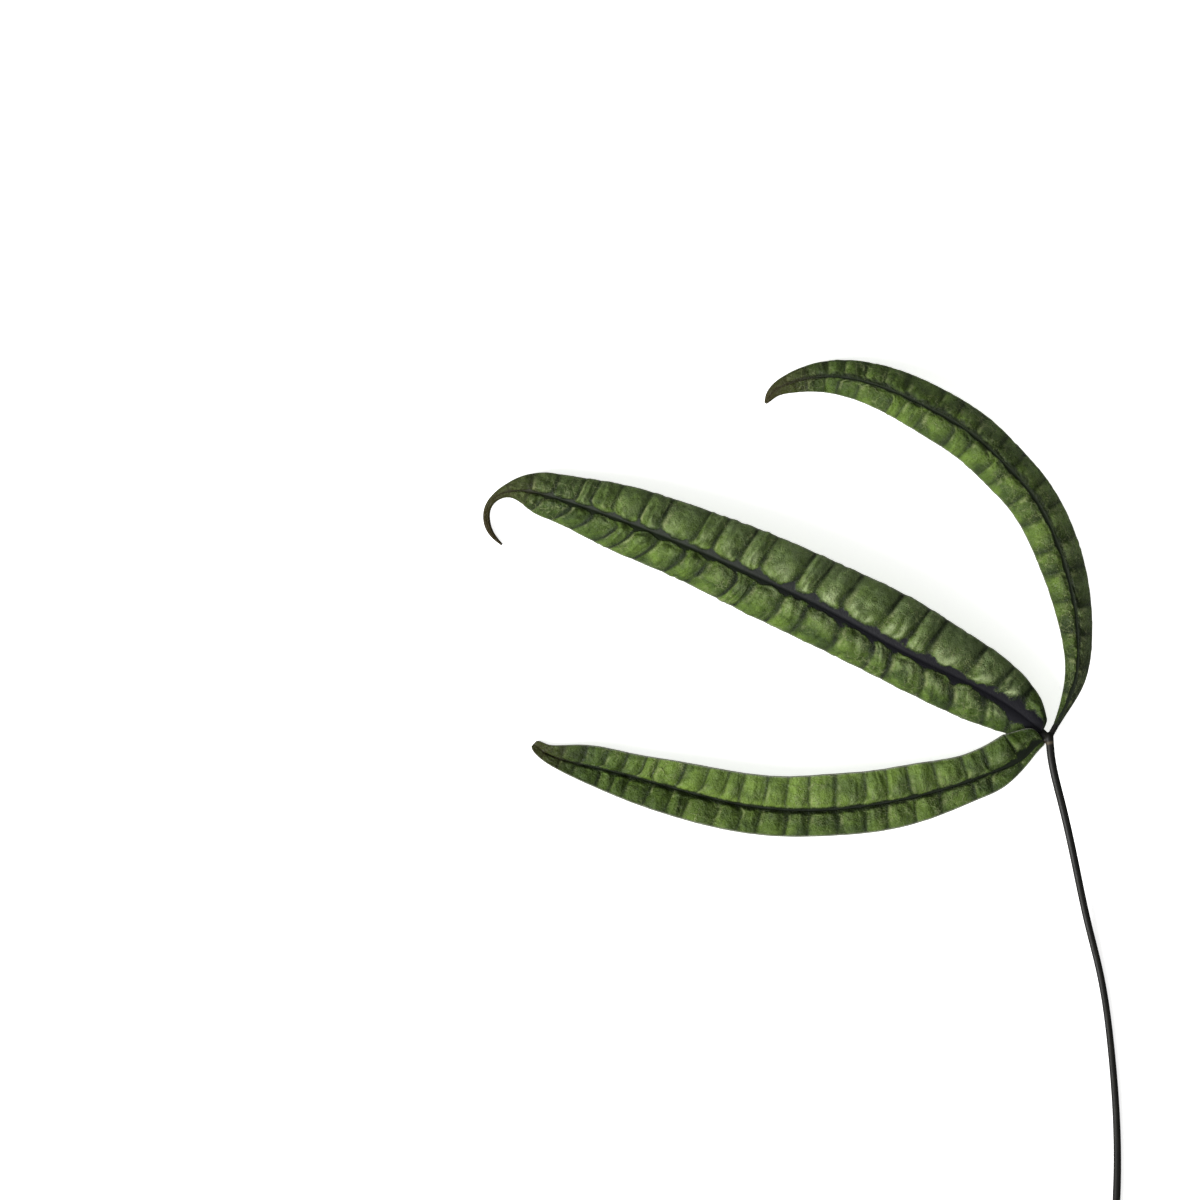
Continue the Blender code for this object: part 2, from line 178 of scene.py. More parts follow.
# The swelling beside the knuckle, where the feet of the middle and lower leaflets part
FORK_PLACE = (-2.0, 0.9, -0.7)
FORK_RADII = (2.1, 1.6, 1.2)
# The feet run from the knuckle under the ribs, and get thinner there
FOOT_RADIUS = 1.15
FOOT_SHARES = (0.0, 0.35, 0.7)
FOOT_REACH = 7.0
FOOT_POINTS = 12
FOOT_TAPER = 0.75
FOOT_DROP = 0.15
# The streaks are drawn out along the stalk. The collar is a ring, and the cut's flesh a disc inside the skin
STREAK_STRETCH = 0.06
COLLAR_START = (1.9, 2.3)
COLLAR_END = (2.6, 3.1)
COLLAR_STRENGTH = 0.4
CUT_DEPTH = (-0.35, -0.2)
CUT_EDGE = (0.82, 0.95)

# The photograph's frame: its size in pixels, the knuckle's pixel, and millimetres for each pixel
PHOTO_SIZE = 1200
KNUCKLE_PIXEL = (1049, 738)
PIXEL = 0.38
# The camera's height and the floor's reach in metres, and the height in millimetres where the scale holds
CAMERA_DISTANCE = 6.0
FLOOR_REACH = 12.0
LEAF_HEIGHT = 12.0
# The way towards the main light, and how wide it is, in degrees
KEY_DIRECTION = (-0.85, -0.5, 0.75)
KEY_ANGLE = 35
# The sky is dimmer away from the main light, and brighter towards it
SKY_SPAN = (-0.2, 1.0)
SKY_SHARES = (0.3, 2.0)


@dataclass
class Leaflet:
    """One leaflet. Its tuples of two are for the left and right side, seen from the knuckle to the tip."""

    node: str
    piece: str
    rib: list  # x, y, height of the upper face along the rib
    widths: list  # distance along the rib, half-width on the left, half-width on the right
    blade_length: float  # along the rib, without the drip tip
    panels: int  # puffed panels on each side of the rib
    puff: float  # height of the largest panels
    slopes: tuple  # rise beside the rib, for each millimetre outwards
    drops: tuple  # how far the margin hangs for each millimetre, at the base and at the tip
    leans: tuple  # how far side veins run towards the tip, at the base and at the tip
    bends: tuple  # how far they curve on towards the tip
    channel: tuple  # share of the half-width beside the rib that is smooth: at the foot, base and tip
    lobes: float  # how round the panels' ends beside the rib are
    # Painted shade: how dark the troughs over the side veins are
    groove: float  # how dark the troughs over the side veins are
    dusky_rib: float  # how purple-grey the channel is, rather than dark green
    wrinkles: float  # strength of the fine wrinkles
    shaded: tuple  # how dark and olive the half is near its base
    sunny: tuple  # how yellow the middle of the blade is
    # Painted highlight: how pale the panels' ends beside the rib are
    crest_highlights: tuple  # how pale the panels' ends beside the rib are
    # Painted sheen: how grey and pale the outer part is, where it reflects the sky
    painted_sheen: tuple  # how grey and pale the outer part is
    # Painted shadow along the rib
    seam: tuple  # width of the dark band along the rib, as a share of the half-width
    seed: int


UPPER = Leaflet(
    node="leaflet_upper",
    piece="blade_upper",
    rib=[
        (2.9, 5.2, 11.6), (6.4, 12.0, 12.6), (9.9, 21.5, 13.4), (11.0, 35.3, 14.0),
        (9.9, 48.6, 14.6), (6.5, 63.8, 15.6), (1.5, 77.9, 16.8), (-6.5, 92.4, 18.0),
        (-16.2, 103.3, 18.6), (-28.5, 114.8, 18.4), (-42.6, 123.7, 17.0), (-58.0, 131.2, 14.4),
        (-73.0, 136.2, 11.0), (-86.0, 137.4, 7.8), (-98.0, 135.0, 4.8), (-105.0, 131.2, 2.6),
        (-107.6, 127.3, 1.0),
    ],
    widths=[
        (0.0, 1.2, 1.2), (5.0, 2.0, 1.6), (13.0, 3.5, 2.9), (23.0, 4.7, 4.6), (42.0, 7.3, 6.4),
        (61.0, 9.3, 7.8), (85.0, 10.3, 8.3), (115.0, 10.8, 9.0), (141.0, 10.4, 9.2), (160.0, 8.8, 8.7),
        (180.0, 6.9, 6.6), (198.5, 3.9, 3.8), (206.0, 2.2, 2.2), (209.5, 1.2, 1.2), (211.0, 0.5, 0.5),
    ],
    blade_length=200.0,
    panels=20,
    puff=1.0,
    slopes=(0.34, 0.3),
    drops=((0.42, 0.3), (1.6, 0.5)),
    leans=((-0.15, -0.05), (-0.1, -0.1)),
    bends=(0.15, 0.1),
    channel=(0.35, 0.06, 0.02),
    lobes=0.3,
    groove=0.35,
    dusky_rib=0.1,
    wrinkles=0.7,
    shaded=(0.45, 1.0),
    sunny=(0.25, 0.1),
    crest_highlights=(0.15, 0.3),
    painted_sheen=(0.0, 0.3),
    seam=(0.1, 0.2),
    seed=11,
)

MIDDLE = Leaflet(
    node="leaflet_middle",
    piece="blade_middle",
    rib=[
        (-2.6, 2.6, 11.0), (-11.8, 10.0, 13.6), (-33.8, 22.6, 18.4), (-56.6, 33.6, 21.4),
        (-83.2, 48.2, 22.6), (-109.8, 60.8, 21.6), (-138.3, 73.3, 18.6), (-166.8, 84.4, 14.0),
        (-191.5, 92.4, 9.2), (-203.6, 94.0, 6.8), (-209.6, 92.1, 5.4), (-213.2, 88.0, 4.1),
        (-213.8, 83.2, 2.9), (-212.0, 78.0, 1.8), (-207.9, 73.5, 1.0),
    ],
    widths=[
        (0.0, 1.3, 1.3), (0.6, 3.2, 3.3), (2.0, 5.8, 5.2), (5.0, 7.8, 7.4), (12.0, 10.0, 11.0),
        (22.0, 12.4, 14.0), (42.0, 13.8, 17.2), (64.0, 13.6, 19.6), (94.0, 14.9, 18.2), (128.0, 14.4, 17.2),
        (156.0, 13.0, 15.4), (184.0, 11.8, 13.0), (204.0, 9.0, 9.6), (215.0, 6.9, 7.4), (223.0, 2.8, 3.6),
        (229.0, 1.6, 1.6), (240.0, 1.3, 1.3), (250.0, 0.4, 0.4),
    ],
    blade_length=224.0,
    panels=21,
    puff=2.5,
    slopes=(0.4, 0.5),
    drops=((0.62, 0.5), (0.16, 0.3)),
    leans=((-1.25, 0.5), (-0.2, -0.15)),
    bends=(0.5, 0.0),
    channel=(0.5, 0.11, 0.03),
    lobes=1.0,
    groove=0.95,
    dusky_rib=1.0,
    wrinkles=1.0,
    shaded=(0.0, 0.0),
    sunny=(0.15, 0.3),
    crest_highlights=(0.6, 1.0),
    painted_sheen=(0.0, 0.8),
    seam=(0.1, 0.1),
    seed=5,
)

LOWER = Leaflet(
    node="leaflet_lower",
    piece="blade_lower",
    rib=[
        (-2.2, -1.0, 12.2), (-3.9, -1.9, 12.5), (-6.2, -4.0, 12.8), (-9.9, -7.6, 13.2),
        (-18.6, -11.9, 13.7), (-30.0, -16.2, 13.8), (-44.1, -20.6, 13.4), (-62.3, -24.6, 12.4),
        (-80.2, -27.0, 11.2), (-98.8, -27.4, 9.8), (-117.0, -25.4, 8.3), (-134.9, -21.3, 6.8),
        (-152.4, -16.4, 5.4), (-170.2, -11.8, 4.0), (-185.8, -8.0, 2.7), (-191.9, -5.4, 2.0),
        (-195.8, -2.2, 1.05),
    ],
    widths=[
        (0.0, 1.3, 1.3), (0.6, 1.5, 3.9), (2.0, 1.8, 6.8), (5.2, 2.0, 9.6), (10.5, 2.8, 11.6),
        (20.0, 6.4, 10.9), (31.0, 7.6, 10.2), (49.0, 9.3, 12.2), (67.0, 10.3, 12.9), (85.0, 9.9, 13.6),
        (104.0, 10.1, 12.8), (126.0, 10.4, 12.0), (148.0, 10.2, 10.4), (166.0, 8.9, 8.5), (184.0, 5.6, 7.4),
        (194.0, 3.4, 4.5), (199.0, 2.5, 2.9), (201.4, 2.1, 2.3), (202.8, 1.5, 1.6), (203.6, 0.8, 0.8),
    ],
    blade_length=198.0,
    panels=22,
    puff=1.9,
    slopes=(0.42, 0.42),
    drops=((-0.3, -0.3), (-0.26, -0.26)),
    leans=((0.1, 0.15), (-0.1, -0.3)),
    bends=(0.0, 0.1),
    channel=(0.3, 0.035, 0.02),
    lobes=0.15,
    groove=0.6,
    dusky_rib=0.25,
    wrinkles=0.7,
    shaded=(0.0, 0.0),
    sunny=(0.25, 0.8),
    crest_highlights=(0.25, 0.35),
    painted_sheen=(0.1, 0.15),
    seam=(0.14, 0.07),
    seed=23,
)
LEAFLETS = (UPPER, MIDDLE, LOWER)


def colour(red, green, blue):
    """A linear colour from the 0 to 255 values that a screen shows."""
    shown = np.array([red, green, blue]) / 255
    return tuple(np.where(shown < 0.04045, shown / 12.92, ((shown + 0.055) / 1.055) ** 2.4))


def colour_setting(name, description, shown):
    return FloatVectorProperty(
        name=name, description=description, default=colour(*shown), subtype="COLOR", min=0, max=1
    )


def length_setting(name, description, millimetres):
    return FloatProperty(name=name, description=description, default=millimetres * MM, unit="LENGTH")


class BladeSettings(PropertyGroup):
    thickness: length_setting("Blade thickness", "Thickness between the veins", 0.75)
    puff: FloatProperty(name="Puff", description="The panels' height, for each of the solid's", default=1.0)
    ridge_height: length_setting("Ridge height", "Height of the ridges along the side veins", 1.7)
    ridge_size: length_setting("Ridge size", "Distance between those ridges", 4.2)
    wrinkle_height: length_setting("Wrinkle height", "Height of the wrinkles on the panels", 0.75)
    wrinkle_size: length_setting("Wrinkle size", "Distance between the wrinkles", 2.2)
    vein_ridge: length_setting("Vein ridge", "How far side veins stand out of the underside", 0.35)
    seed: IntProperty(name="Seed", description="Draw of the wrinkles", default=3)
    panel_colour: colour_setting("Panels", "The blade between its veins", (50, 68, 26))
    bright_colour: colour_setting("Bright patches", "Yellower parts of the panels", (86, 109, 40))
    # Also the colour of the painted shade in the troughs, on the panels' flanks and along the rib, besides
    # the darker grain, streaks and net
    trough_colour: colour_setting("Troughs", "Beside the side veins", (19, 27, 11))
    channel_colour: colour_setting("Channel", "The glossy band along the rib", (19, 19, 24))
    sunny_colour: colour_setting("Sunny parts", "The yellowest parts of the blade", (116, 142, 56))
    shade_colour: colour_setting("Shaded half", "The darker outer half of the upper leaflet", (26, 28, 13))
    # Also the colour of the painted glints, and in part of the painted highlight along the panels' hems
    thread_colour: colour_setting("Threads", "Thin pale lines on the panels", (150, 158, 110))
    # Painted highlight on the panels' ends beside the rib
    crest_highlight_colour: colour_setting("Crests", "The panels' pale ends beside the rib", (148, 162, 116))
    # Painted sheen: the grey, pale colour of sky light reflected off the outward-sloping part
    painted_sheen_colour: colour_setting("Frost", "The greyer outer part of a half", (114, 132, 86))
    rim_colour: colour_setting("Margin", "The thin pale rim", (126, 128, 116))
    tip_colour: colour_setting("Tip", "The drying tip", (50, 44, 20))
    underside_colour: colour_setting("Underside", "The lower face", (96, 122, 74))
    vein_colour: colour_setting("Underside veins", "Veins on the lower face", (132, 146, 100))


class StalkSettings(PropertyGroup):
    voxel: length_setting("Skin detail", "Size of the faces that join the stalk and its feet", 0.28)
    skin_colour: colour_setting("Skin", "The stalk's near-black skin", (20, 20, 18))
    streak_colour: colour_setting("Streaks", "Fine paler streaks along the stalk", (36, 35, 27))
    collar_colour: colour_setting("Collar", "The brown ring under the knuckle", (112, 100, 80))
    cut_colour: colour_setting("Cut end", "The flesh at the cut", (150, 152, 112))


class StageSettings(PropertyGroup):
    floor_colour: colour_setting("Floor", "The plain floor", (250, 250, 249))
    floor_glow: FloatProperty(name="Floor glow", description="Light that the floor gives off", default=0.65)
    sky_light: FloatProperty(name="Sky light", description="Strength of the light all round", default=0.4)
    key_light: FloatProperty(name="Key light", description="Strength of the main light", default=4.0)


def spline(knots, values):
    """A natural cubic spline through values at knots, as a function of the position between them."""
    knots, values = np.array(knots, float), np.array(values, float)
    gaps = np.diff(knots)
    system = np.eye(len(knots))
    bends = np.zeros(values.shape)
    slopes = np.diff(values, axis=0) / gaps.reshape(-1, *[1] * (values.ndim - 1))
    for i in range(1, len(knots) - 1):
        system[i, i - 1 : i + 2] = gaps[i - 1], 2 * (gaps[i - 1] + gaps[i]), gaps[i]
        bends[i] = 6 * (slopes[i] - slopes[i - 1])
    bends = np.linalg.solve(system, bends)

    def at(position):
        position = np.clip(np.asarray(position, float), knots[0], knots[-1])
        i = np.clip(np.searchsorted(knots, position) - 1, 0, len(gaps) - 1)
        gap, before, after = gaps[i], position - knots[i], knots[i + 1] - position
        if values.ndim > 1:
            gap, before, after = gap[..., None], before[..., None], after[..., None]
        curved = (bends[i] * after**3 + bends[i + 1] * before**3) / (6 * gap)
        first = (values[i] / gap - bends[i] * gap / 6) * after
        return curved + first + (values[i + 1] / gap - bends[i + 1] * gap / 6) * before

    return at


def run_of(points):
    """The distance along a line of points, as seen from above."""
    steps = np.linalg.norm(np.diff(np.array(points, float)[:, :2], axis=0), axis=1)
    return np.concatenate([[0.0], np.cumsum(steps)])


def ease(start, end, x):
    """0 before start, 1 after end, and smooth between them."""
    share = np.clip((x - start) / (end - start), 0.0, 1.0)
    return share * share * (3 - 2 * share)


def fade(start, end, x):
    """1 before start, 0 after end, and smooth between them."""
    return 1 - ease(start, end, x)


def mixed(ends, share):
    return ends[0] + (ends[1] - ends[0]) * share


class Blade:
    """The upper face of a leaflet, as points for a panel position and a signed share of the half-width.

    Panel position runs from 0 at the base to the number of panels at the end of the puckered blade.
    The share runs from -1 at the right margin over 0 at the rib to 1 at the left margin.
    """

    def __init__(self, leaflet):
        self.leaflet = leaflet
        runs = run_of(leaflet.rib)
        self.length = runs[-1]
        self.rib = spline(runs, leaflet.rib)
        stations = np.array(leaflet.widths)
        self.half_widths = [spline(stations[:, 0], stations[:, side]) for side in (1, 2)]
        self.widest = stations[:, 1:].max()
        chance = random.Random(leaflet.seed)
        count = leaflet.panels + 2
        self.vein_jitter = [[chance.uniform(-1, 1) for _ in range(count)] for _ in range(2)]
        self.panel_puff = [[chance.uniform(-1, 1) for _ in range(count)] for _ in range(2)]

    def along(self, panel):
        """The distance from the base to a panel position, along the rib, also past the last panel."""
        share = panel / self.leaflet.panels
        inside = np.minimum(share, 1)
        panels = inside + PANEL_TAPER * inside * (1 - inside)
        return self.leaflet.blade_length * (panels + (share - inside) * (1 - PANEL_TAPER))

    def tip_columns(self):
        """Panel positions past the last panel, spread evenly to the end of the rib."""
        tip = self.length - self.leaflet.blade_length
        panels = tip / self.leaflet.blade_length * self.leaflet.panels / (1 - PANEL_TAPER)
        count = round(tip / TIP_STEP)
        return [self.leaflet.panels + panels * (i + 1) / count for i in range(count)]

    def place(self, panel, share):
        """Points of the smooth blade, before its puffs. panel and share are arrays of one shape."""
        leaflet = self.leaflet
        along = self.along(panel)
        place = np.zeros((*panel.shape, 3))
        for side, sign in ((0, 1), (1, -1)):
            here = share * sign >= 0
            out = np.abs(share[here])
            start = along[here]
            half = self.half_widths[side](start)
            done = np.clip(start / leaflet.blade_length, 0, 1)
            window = ease(0, LEAN_FADE, done) * ease(0, LEAN_FADE, 1 - done)
            lean = half * (mixed(leaflet.leans[side], done) * out + leaflet.bends[side] * out**2)
            wander = np.interp(panel[here], range(leaflet.panels + 2), self.vein_jitter[side])
            wander = wander * VEIN_JITTER * leaflet.blade_length / leaflet.panels * ease(*JITTER_SPAN, out)
            reached = start + window * (lean + wander)
            half = self.half_widths[side](reached)
            half *= 1 - SCALLOP * (1 - self.wave(panel[here])) * out**2
            on_rib = self.rib(reached)
            step = self.rib(reached + 0.5)[:, :2] - self.rib(reached - 0.5)[:, :2]
            step /= np.linalg.norm(step, axis=1)[:, None]
            outwards = np.stack([-step[:, 1], step[:, 0]], axis=1) * sign
            slope, drop = leaflet.slopes[side], mixed(leaflet.drops[side], done)
            on_rib[:, :2] += outwards * (half * out)[:, None]
            on_rib[:, 2] += half * (slope * out - (slope + drop) * out**2)
            place[here] = on_rib
        return place

    def wave(self, panel):
        """0 over a side vein, rising to 1 in the middle of a panel, and 1 past the last panel."""
        inside = np.minimum(panel, self.leaflet.panels)
        wave = np.sin(np.pi * (inside - np.floor(inside))).clip(0, 1)
        return np.where(panel > self.leaflet.panels, 1, wave)

    def phase(self, panel):
        """How far across its panel a position is, from the base side to the tip side."""
        inside = np.minimum(panel, self.leaflet.panels - 1e-6)
        return inside - np.floor(inside)

    def lobe_edge(self, panel):
        """Share of the half-width where a panel begins to rise: the channel, then round lobes' ends."""
        mouth, base, tip = self.leaflet.channel
        channel = mixed((base, tip), np.clip(panel / self.leaflet.panels, 0, 1))
        channel = channel + (mouth - base) * fade(0, CHANNEL_MOUTH, panel)
        return channel + LOBE_ROUND * self.leaflet.lobes * (1 - self.wave(panel))

    def puff(self, panel, share):
        """How far the blade stands up from its smooth shape, between the side veins."""
        leaflet = self.leaflet
        height = np.zeros(panel.shape)
        for side, sign in ((0, 1), (1, -1)):
            here = share * sign >= 0
            out = np.abs(share[here])
            at = np.minimum(panel[here], leaflet.panels)
            uneven = 1 + PUFF_JITTER * np.array(self.panel_puff[side])[at.astype(int)]
            size = self.half_widths[side](self.along(at)) / self.widest
            edge = self.lobe_edge(panel[here])
            across = ease(edge, edge + PUFF_RISE, out) * (1 - PUFF_FALL * ease(PUFF_FALL_START, 1, out))
            across = across * (1 - (1 - MARGIN_PUFF) * ease(MARGIN_START, 1, out))
            height[here] = leaflet.puff * uneven * size**PUFF_GROWTH * across
        by_rib = TROUGH_BY_RIB * leaflet.lobes
        trough = mixed((by_rib, TROUGH_BY_MARGIN), ease(*TROUGH_SPAN, np.abs(share)))
        wave = np.sin(np.pi * self.phase(panel) ** CREST_SHIFT)
        swelling = ((wave - trough) / (1 - trough)).clip(0, 1) ** PUFF_ROUNDNESS
        return height * swelling * (panel <= leaflet.panels)


def sheet_object(name, points, masks):
    """A grid of points as a mesh of one sheet, facing up, with masks stored on its points."""
    columns, rows = points.shape[:2]
    corner = np.arange(columns * rows).reshape(columns, rows)
    quads = np.stack([corner[:-1, :-1], corner[1:, :-1], corner[1:, 1:], corner[:-1, 1:]], axis=-1)
    mesh = bpy.data.meshes.new(name)
    mesh.from_pydata((points.reshape(-1, 3) * MM).tolist(), [], quads.reshape(-1, 4).tolist())
    store(mesh, masks)
    return placed(name, mesh)


def store(mesh, masks):
    """Stores each array of masks on the mesh's points, as numbers or as vectors."""
    for mask, values in masks.items():
        vectors = values.size == 3 * len(mesh.vertices)
        layer = mesh.attributes.new(mask, "FLOAT_VECTOR" if vectors else "FLOAT", "POINT")
        layer.data.foreach_set("vector" if vectors else "value", values.ravel())


def placed(name, data):
    """A new object in the scene, at the origin."""
    thing = bpy.data.objects.new(name, data)
    bpy.context.scene.collection.objects.link(thing)
    return thing


def points_of(mesh):
    """The mesh's points, in millimetres."""
    points = np.empty(len(mesh.vertices) * 3)
    mesh.vertices.foreach_get("co", points)
    return points.reshape(-1, 3) / MM


def add_node(tree, kind, inputs=(), **settings):
    """A node with its settings, and its inputs by name or number, each a value or a socket to link."""
    node = tree.nodes.new(kind)
    for setting, value in settings.items():
        setattr(node, setting, value)
    fill(tree, node, dict(inputs))
    return node


def fill(tree, node, inputs):
    """Sets a node's inputs, each to a value or by a link from a socket."""
    for key, value in inputs.items():
        if isinstance(value, bpy.types.NodeSocket):
            tree.links.new(value, node.inputs[key])
        else:
            node.inputs[key].default_value = value


def math_node(tree, operation, first, second):
    return add_node(tree, "ShaderNodeMath", {0: first, 1: second}, operation=operation).outputs[0]


def times(tree, first, second):
    return math_node(tree, "MULTIPLY", first, second)


def plus(tree, first, second):
    return math_node(tree, "ADD", first, second)


def stored(tree, name, kind="FLOAT"):
    """Values stored on the mesh's points, for a geometry tree."""
    inputs = {"Name": name}
    return add_node(tree, "GeometryNodeInputNamedAttribute", inputs, data_type=kind).outputs["Attribute"]


def new_tree(name, inputs):
    """A geometry tree with a geometry input and the named inputs, and its input node."""
    tree = bpy.data.node_groups.new(name, "GeometryNodeTree")
    tree.interface.new_socket("Geometry", in_out="INPUT", socket_type="NodeSocketGeometry")
    for label, kind in inputs:
        tree.interface.new_socket(label, in_out="INPUT", socket_type=kind)
    tree.interface.new_socket("Geometry", in_out="OUTPUT", socket_type="NodeSocketGeometry")
    return tree, tree.nodes.new("NodeGroupInput")


def end_tree(tree, given, geometry):
    """Realizes the instances, sets the material and ends the tree."""
    real = add_node(tree, "GeometryNodeRealizeInstances", {"Geometry": geometry}).outputs["Geometry"]
    inputs = {"Geometry": real, "Material": given.outputs["Material"]}
    painted = add_node(tree, "GeometryNodeSetMaterial", inputs)
    add_node(tree, "NodeGroupOutput", {"Geometry": painted.outputs["Geometry"]})


def run_tree(thing, tree, values):
    """The plain mesh that a geometry tree makes of an object, with its named inputs set."""
    modifier = thing.modifiers.new(tree.name, "NODES")
    modifier.node_group = tree
    for socket in tree.interface.items_tree:
        if socket.in_out == "INPUT" and socket.name in values:
            modifier[socket.identifier] = values[socket.name]
    return evaluated_mesh(thing)


def evaluated_mesh(thing):
    """The object's mesh with its modifiers applied. The object itself is removed."""
    graph = bpy.context.evaluated_depsgraph_get()
    mesh = bpy.data.meshes.new_from_object(thing.evaluated_get(graph), depsgraph=graph)
    bpy.data.objects.remove(thing)
    return mesh


PUCKER_SIZES = ("Puff", "Ridge Height", "Ridge Size", "Wrinkle Height", "Wrinkle Size")


def pucker_tree():
    """Lifts the panels of a blade along its normals, and wrinkles them."""
    inputs = [(size, "NodeSocketFloat") for size in PUCKER_SIZES]
    inputs += [("Seed", "NodeSocketInt"), ("Material", "NodeSocketMaterial")]
    tree, given = new_tree("Pucker", inputs)
    place = add_node(tree, "GeometryNodeInputPosition").outputs["Position"]
    weave = stored(tree, "weave", "FLOAT_VECTOR")
    bumps = 0.0
    for kind, vector, detail in (("Ridge", weave, 1.5), ("Wrinkle", place, 2.5)):
        inputs = {
            "Vector": vector,
            "W": given.outputs["Seed"],
            "Scale": math_node(tree, "DIVIDE", 1.0, given.outputs[f"{kind} Size"]),
            "Detail": detail,
            "Roughness": 0.55,
            "Distortion": 0.5,
        }
        relief = add_node(tree, "ShaderNodeTexNoise", inputs, noise_dimensions="4D").outputs["Fac"]
        # The noise runs from 0 to 1, and the relief lies mostly a little under the panel
        relief = math_node(tree, "SUBTRACT", times(tree, relief, 2.0), 1.15)
        bumps = plus(tree, times(tree, relief, given.outputs[f"{kind} Height"]), bumps)
    bumps = times(tree, bumps, stored(tree, "wrinkled"))
    lift = plus(tree, bumps, times(tree, stored(tree, "swell"), given.outputs["Puff"]))
    normal = add_node(tree, "GeometryNodeInputNormal").outputs["Normal"]
    offset = add_node(tree, "ShaderNodeVectorMath", {0: normal, "Scale": lift}, operation="SCALE")
    inputs = {"Geometry": given.outputs["Geometry"], "Offset": offset.outputs["Vector"]}
    moved = add_node(tree, "GeometryNodeSetPosition", inputs)
    end_tree(tree, given, moved.outputs["Geometry"])
    return tree


def grid_normals(points):
    facing = np.cross(np.gradient(points, axis=0), np.gradient(points, axis=1))
    return facing / np.linalg.norm(facing, axis=2)[:, :, None]


def closed_rings(upper, lower):
    """Rings of points round a blade's section: its upper face, a rim, its lower face, and a rim."""
    rings = []
    for above, below in zip(upper, lower):
        sides = []
        for row, direction in ((-1, 1), (0, -1)):
            middle = (above[row] + below[row]) / 2
            half = (above[row] - below[row]) / 2
            rim = above[row] - above[row - direction]
            rim = rim / np.linalg.norm(rim) * RIM_BULGE
            turns = np.linspace(0, np.pi, RIM_STEPS + 2)[1:-1]
            side = [middle + half * math.cos(turn) + rim * math.sin(turn) for turn in turns]
            sides.append(side if direction == 1 else side[::-1])
        rings.append(np.concatenate([above, sides[0], below[::-1], sides[1]]))
    return np.array(rings)


def closed_mesh(name, rings, masks):
    """A closed tube through rings of points, with its two ends filled, and masks on its points."""
    count, around = rings.shape[:2]
    corner = np.arange(count * around).reshape(count, around)
    ahead, beside = np.roll(corner, -1, axis=1)[:-1], corner[:-1]
    quads = np.stack([beside, corner[1:], np.roll(corner, -1, axis=1)[1:], ahead], axis=-1)
    faces = [*quads.reshape(-1, 4).tolist(), corner[0].tolist(), corner[-1][::-1].tolist()]
    mesh = bpy.data.meshes.new(name)
    mesh.from_pydata((rings.reshape(-1, 3) * MM).tolist(), [], faces)
    store(mesh, masks)
    whole = bmesh.new()
    whole.from_mesh(mesh)
    bmesh.ops.triangulate(whole, faces=[face for face in whole.faces if len(face.verts) > 4])
    whole.to_mesh(mesh)
    whole.free()
    mesh.shade_smooth()
    return mesh


def rise(ways, way, start, end, least=0.0):
    return mixed((least, 1), ease(start, end, ways[way]))


def blade_masks(blade, panel, share):
    """What the material needs to know at each point, such as whether it is on a crest or near the tip."""
    leaflet = blade.leaflet
    out = np.abs(share)
    ways = {
        "out": out,
        "lip": out / blade.lobe_edge(panel),
        "done": blade.along(panel) / leaflet.blade_length,
        "wave": blade.wave(panel),
        "phase": blade.phase(panel),
    }
    marks = {name: math.prod(rise(ways, *span) for span in spans) for name, spans in MARKS.items()}

    def by_side(name):
        left, right = getattr(leaflet, name)
        return np.where(share < 0, right, left)

    for name in ("shaded", "sunny", "crest_highlights", "painted_sheen"):
        marks[name] *= by_side(name)
    marks["pale_hem_and_highlight"] *= leaflet.wrinkles
    marks["glints"] *= leaflet.wrinkles
    marks["dusky"] *= leaflet.dusky_rib
    marks["lee_shade"] *= panel <= leaflet.panels
    marks["dull"] = 1 - marks.pop("fresh")
    marks["lip"] = np.minimum(ways["lip"], FAR)
    # The painted shadow along the rib, counted in its own widths
    marks["seam"] = np.minimum(out / by_side("seam"), FAR)
    lobed = leaflet.lobes * math.prod(rise(ways, *span) for span in GROOVE_FADES)
    marks["groove"] = leaflet.groove * fade(GROOVE_START, GROOVE_END + GROOVE_BY_RIB * lobed, ways["wave"])
    return marks


def blade_depth(blade, panel, share, upper, settings):
    """The blade's thickness at each point, with its keel and the ridges of its side veins."""
    out = np.abs(share)
    keel = mixed(KEEL_DEPTHS, np.clip(panel / blade.leaflet.panels, 0, 1))
    depth = np.full(panel.shape, settings.thickness / MM)
    depth += (keel - depth) * fade(0, KEEL_HALF_WIDTH, out)
    depth += settings.vein_ridge / MM * fade(*VEIN_WAVE, blade.wave(panel)) * (1 - out)
    width = np.abs(upper - upper[:, ::-1]).max(axis=(1, 2))[:, None]
    return np.minimum(depth, DEPTH_SHARE * np.maximum(LEAST_WIDTH, width))


def round_section(values):
    """Values of the upper face's points, carried round the rims and over the lower face."""
    left = np.repeat(values[:, -1:], RIM_STEPS, axis=1)
    right = np.repeat(values[:, :1], RIM_STEPS, axis=1)
    return np.concatenate([values, left, values[:, ::-1], right], axis=1)


